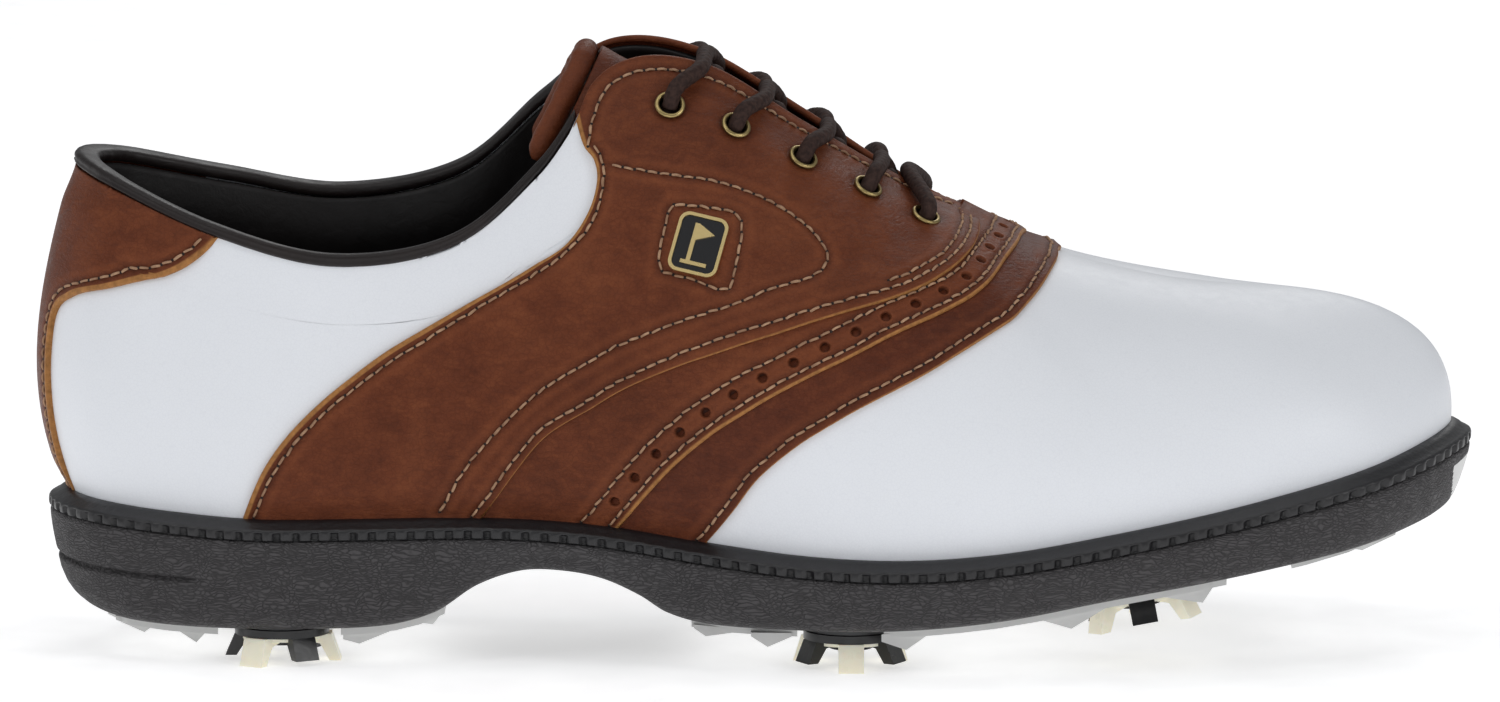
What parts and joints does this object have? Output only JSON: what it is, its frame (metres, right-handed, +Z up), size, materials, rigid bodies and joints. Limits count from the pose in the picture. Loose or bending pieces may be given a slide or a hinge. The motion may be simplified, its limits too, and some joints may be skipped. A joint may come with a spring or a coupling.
{
  "type": "golf shoe",
  "caption": "Right-foot lace-up golf shoe: two-tone leather saddle upper with padded collar on a welted sole with quick-turn cleats",
  "frame": {"origin": "on the ground under the centre of the shoe's box, where the cleat legs stand", "axes": "+X from heel to toe, +Y to the medial side (the wearer's left), +Z up"},
  "size_m": [0.304, 0.1071, 0.1292],
  "materials": {
    "outsole_rubber": "pebbled matt charcoal",
    "welt_rubber": "satin black, ribbed edge",
    "traction_grey": "satin grey TPU",
    "foam": "fine-celled EVA foam",
    "shank_steel": "plain steel strip",
    "board": "cellulose fibre board",
    "sockliner_cover": "dark brown textile over foam",
    "receptacle_plastic": "moulded nylon",
    "cleat_black": "satin black nylon",
    "cleat_cream": "translucent ivory urethane",
    "white_leather": "smooth fine-grain, satin",
    "brown_leather": "mottled pull-up chestnut, satin",
    "collar_leather": "very dark brown, satin",
    "stiffener_board": "resin-stiffened board",
    "lining_textile": "very dark brown textile",
    "brass": "antique brass",
    "lace_wax": "waxed dark brown braid",
    "aglet_plastic": "clear brown film",
    "enamel": "black enamel"
  },
  "bodies": {
    "shoe": {"outsole": "outsole_rubber", "welt": "welt_rubber", "heel_traction_plate": "traction_grey", "forefoot_traction_plate": "traction_grey", "toe_traction_plate": "traction_grey", "midsole_foam": "foam", "shank": "shank_steel", "insole_board": "board", "sockliner": "sockliner_cover", "cleat_receptacles": "receptacle_plastic", "vamp": "white_leather", "front_wing": "brown_leather", "brogue_band": "brown_leather", "lateral_saddle": "brown_leather", "medial_saddle": "brown_leather", "lateral_quarter": "white_leather", "medial_quarter": "white_leather", "heel_overlay": "brown_leather", "collar_binding": "collar_leather", "collar_foam": "foam", "heel_counter": "stiffener_board", "toe_puff": "stiffener_board", "quarter_lining": "lining_textile", "vamp_lining": "lining_textile", "eyelets_lateral": "brass", "eyelets_medial": "brass", "lace": "lace_wax", "lace_tail_lateral": "lace_wax", "lace_tail_medial": "lace_wax", "aglet_lateral": "aglet_plastic", "aglet_medial": "aglet_plastic", "badge_frame": "brass", "badge_enamel": "enamel", "badge_emblem": "brass"},
    "tongue": {"tongue_leather": "brown_leather", "tongue_foam": "foam", "tongue_lining": "lining_textile", "tongue_binding": "brown_leather"},
    "cleat_1": {"cleat_1_core": "cleat_black", "cleat_1_soft_legs": "cleat_cream"},
    "cleat_2": {"cleat_2_core": "cleat_black", "cleat_2_soft_legs": "cleat_cream"},
    "cleat_3": {"cleat_3_core": "cleat_black", "cleat_3_soft_legs": "cleat_cream"},
    "cleat_4": {"cleat_4_core": "cleat_black", "cleat_4_soft_legs": "cleat_cream"},
    "cleat_5": {"cleat_5_core": "cleat_black", "cleat_5_soft_legs": "cleat_cream"},
    "cleat_6": {"cleat_6_core": "cleat_black", "cleat_6_soft_legs": "cleat_cream"}
  },
  "joints": [
    {"name": "tongue_fold", "type": "hinge", "parent": "shoe", "child": "tongue", "pos_m": [0.046, 0.002, 0.0885], "axis": [0, -1, 0], "range_deg": [0, 15], "stiffness_Nm_per_rad": 0.5, "springref_deg": -5.73},
    {"name": "cleat_1_lock", "type": "hinge", "parent": "shoe", "child": "cleat_1", "pos_m": [-0.1005, -0.0205, 0.0076], "axis": [0, 0, -1], "range_deg": [0, 60]},
    {"name": "cleat_2_lock", "type": "hinge", "parent": "shoe", "child": "cleat_2", "pos_m": [-0.1005, 0.0205, 0.0076], "axis": [0, 0, -1], "range_deg": [0, 60]},
    {"name": "cleat_3_lock", "type": "hinge", "parent": "shoe", "child": "cleat_3", "pos_m": [0.0195, -0.027, 0.0076], "axis": [0, 0, -1], "range_deg": [0, 60]},
    {"name": "cleat_4_lock", "type": "hinge", "parent": "shoe", "child": "cleat_4", "pos_m": [0.0195, 0.029, 0.0076], "axis": [0, 0, -1], "range_deg": [0, 60]},
    {"name": "cleat_5_lock", "type": "hinge", "parent": "shoe", "child": "cleat_5", "pos_m": [0.08, -0.0245, 0.0164], "axis": [0.1822, 0, -0.9833], "range_deg": [0, 60]},
    {"name": "cleat_6_lock", "type": "hinge", "parent": "shoe", "child": "cleat_6", "pos_m": [0.08, 0.0275, 0.0164], "axis": [0.1822, 0, -0.9833], "range_deg": [0, 60]}
  ]
}
